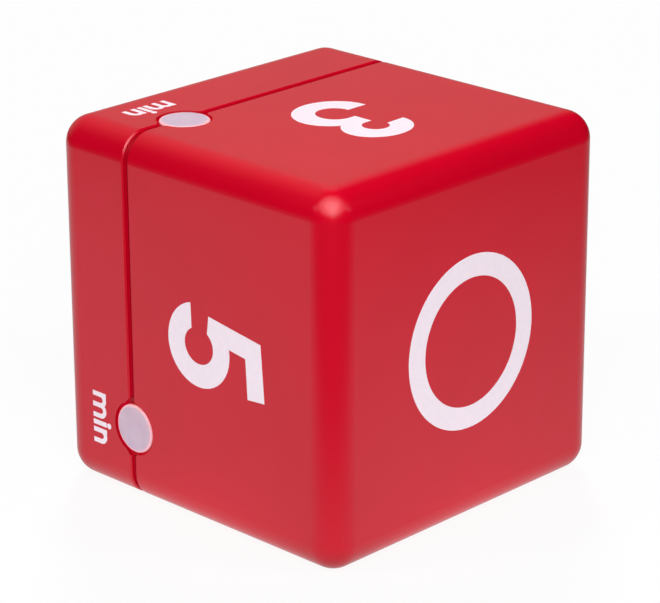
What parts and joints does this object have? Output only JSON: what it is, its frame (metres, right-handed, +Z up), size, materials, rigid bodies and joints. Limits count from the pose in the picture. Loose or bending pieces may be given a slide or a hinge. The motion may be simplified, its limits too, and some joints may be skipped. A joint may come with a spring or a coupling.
{
  "type": "cube timer",
  "caption": "Red cube timer with rounded edges. Turning a face up starts the time it shows; one face holds the display, the battery door and the alarm switch.",
  "frame": {"origin": "middle of the lower face, on the surface that the cube stands on", "axes": "+Z up, +X out of the 0 face, -X out of the display face"},
  "size_m": [0.06, 0.06, 0.06],
  "materials": {
    "red_plastic": "satin moulded",
    "milky_lens": "milky, slightly glossy",
    "clear_window": "clear polished",
    "display_glass": "grey-green display",
    "white_plastic": "plain",
    "bright_metal": "nickel plated",
    "board": "solder mask",
    "light_case": "white",
    "black_plastic": "plain",
    "dark_knob": "fine texture",
    "blue_sleeve": "shrink sleeve",
    "brass": "plain",
    "cell_sleeve": "printed film over a can"
  },
  "bodies": {
    "timer": {"main_housing": "red_plastic", "display_cap": "red_plastic", "top_light_lens": "milky_lens", "front_light_lens": "milky_lens", "bottom_light_lens": "milky_lens", "back_light_lens": "milky_lens", "display_window": "clear_window", "lcd_front_glass": "display_glass", "lcd_rear_glass": "display_glass", "lcd_frame": "white_plastic", "lcd_pins": "bright_metal", "board_screws": "bright_metal", "crystal": "bright_metal", "slide_switch_body": "bright_metal", "positive_contact": "bright_metal", "negative_contact": "bright_metal", "negative_spring": "bright_metal", "link_contact": "bright_metal", "link_spring": "bright_metal", "circuit_board": "board", "led_top": "light_case", "led_front": "light_case", "led_bottom": "light_case", "led_back": "light_case", "timer_chip": "black_plastic", "buzzer_case": "black_plastic", "tilt_sensor_housing": "black_plastic", "tilt_sensor_lid": "black_plastic", "capacitor": "blue_sleeve", "buzzer_disc": "brass", "battery_upper": "cell_sleeve", "battery_lower": "cell_sleeve"},
    "battery_door": {"battery_door": "red_plastic"},
    "alarm_switch": {"switch_knob": "dark_knob", "slide_switch_actuator": "black_plastic"},
    "tilt_ball": {"tilt_ball": "brass"}
  },
  "joints": [
    {"name": "battery_door_hinge", "type": "hinge", "parent": "timer", "child": "battery_door", "pos_m": [-0.0293, 0, 0.02635], "axis": [0, 1, 0], "range_deg": [0, 70]},
    {"name": "alarm_switch_slide", "type": "slide", "parent": "timer", "child": "alarm_switch", "axis": [0, 0, 1], "range_m": [0, 0.002]},
    {"name": "tilt_ball_roll", "type": "slide", "parent": "timer", "child": "tilt_ball", "axis": [0, 0, 1], "range_m": [0, 0.002]}
  ]
}
